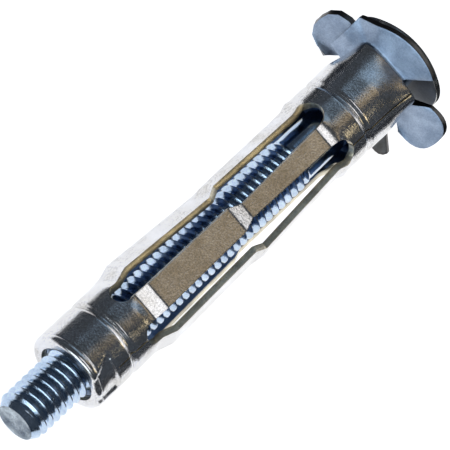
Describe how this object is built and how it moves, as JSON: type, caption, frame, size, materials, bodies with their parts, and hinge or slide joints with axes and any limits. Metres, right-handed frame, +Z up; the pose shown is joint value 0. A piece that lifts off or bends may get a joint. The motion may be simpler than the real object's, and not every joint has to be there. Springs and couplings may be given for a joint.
{
  "type": "hollow wall anchor",
  "caption": "Hollow wall anchor: machine screw in a slotted, kinked sheet-metal sleeve with a clawed flange and a captive nut.",
  "frame": {"origin": "on the ground, half way along the lying anchor, under the screw's axis", "axes": "+X along the anchor from the screw's tip to its head, +Z up; the screw's axis rises 3.58 degrees towards the head because the rear claw props it up"},
  "size_m": [0.0618, 0.0179, 0.0151],
  "materials": {
    "screw": "bright zinc plated",
    "sleeve": "bright zinc plated",
    "nut": "bright zinc plated"
  },
  "bodies": {
    "sleeve": {"sleeve": "sleeve", "nut": "nut"},
    "screw": {"screw": "screw"}
  },
  "joints": [
    {"name": "screw_turn", "type": "hinge", "parent": "sleeve", "child": "screw", "pos_m": [-0.00123, 0, 0.00606], "axis": [0.998, 0, 0.0625], "continuous": true}
  ]
}
